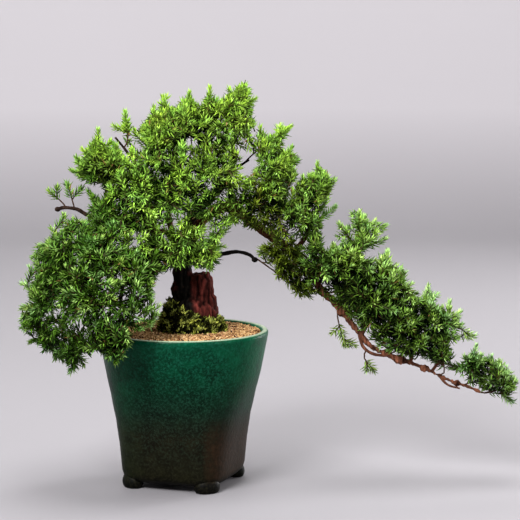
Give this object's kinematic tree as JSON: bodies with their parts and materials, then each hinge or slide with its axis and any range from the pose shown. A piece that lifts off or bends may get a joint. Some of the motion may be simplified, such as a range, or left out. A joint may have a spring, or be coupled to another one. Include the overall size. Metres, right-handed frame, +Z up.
{
  "type": "japanese juniper bonsai",
  "caption": "Young juniper trained as a bonsai, with a long arching cascade branch, mossy soil and a round-rimmed glazed pot on small feet.",
  "frame": {"origin": "centre of the whole bonsai's footprint box, on the surface that the pot's feet stand on", "axes": "+X towards the tip of the cascade, to the right seen from the front; +Y to the back; +Z up"},
  "size_m": [0.4432, 0.1836, 0.3585],
  "materials": {
    "glaze": "satin teal glaze",
    "mesh": "matte black plastic",
    "soil": "fine fired clay grains",
    "moss": "tufted moss",
    "bark": "flaking bark",
    "foliage": "needles"
  },
  "bodies": {
    "root": {"pot": "glaze", "drain_mesh": "mesh", "soil": "soil", "moss": "moss", "wood": "bark", "spray_crown_01": "foliage", "spray_crown_02": "foliage", "spray_crown_03": "foliage", "spray_crown_04": "foliage", "spray_crown_05": "foliage", "spray_crown_06": "foliage", "spray_crown_07": "foliage", "spray_crown_08": "foliage", "spray_crown_09": "foliage", "spray_right_01": "foliage", "spray_right_02": "foliage", "spray_right_03": "foliage", "spray_right_04": "foliage", "spray_right_05": "foliage", "spray_right_06": "foliage", "spray_right_07": "foliage", "spray_right_08": "foliage", "spray_right_09": "foliage", "spray_right_10": "foliage", "spray_right_11": "foliage", "spray_right_12": "foliage", "spray_right_13": "foliage", "spray_right_14": "foliage", "spray_right_15": "foliage", "spray_right_16": "foliage", "spray_under_01": "foliage", "spray_under_02": "foliage", "spray_under_03": "foliage", "spray_under_04": "foliage", "spray_under_05": "foliage", "spray_centre_01": "foliage", "spray_centre_02": "foliage", "spray_centre_03": "foliage", "spray_centre_04": "foliage", "spray_centre_05": "foliage", "spray_left_01": "foliage", "spray_left_02": "foliage", "spray_left_03": "foliage", "spray_left_04": "foliage", "spray_left_05": "foliage", "spray_left_06": "foliage", "spray_left_07": "foliage", "spray_left_08": "foliage", "spray_left_09": "foliage", "spray_left_10": "foliage", "spray_left_11": "foliage", "spray_back_01": "foliage", "spray_back_02": "foliage", "spray_back_03": "foliage", "spray_back_04": "foliage", "spray_back_05": "foliage", "spray_back_06": "foliage", "spray_back_07": "foliage", "spray_back_08": "foliage"}
  },
  "joints": []
}
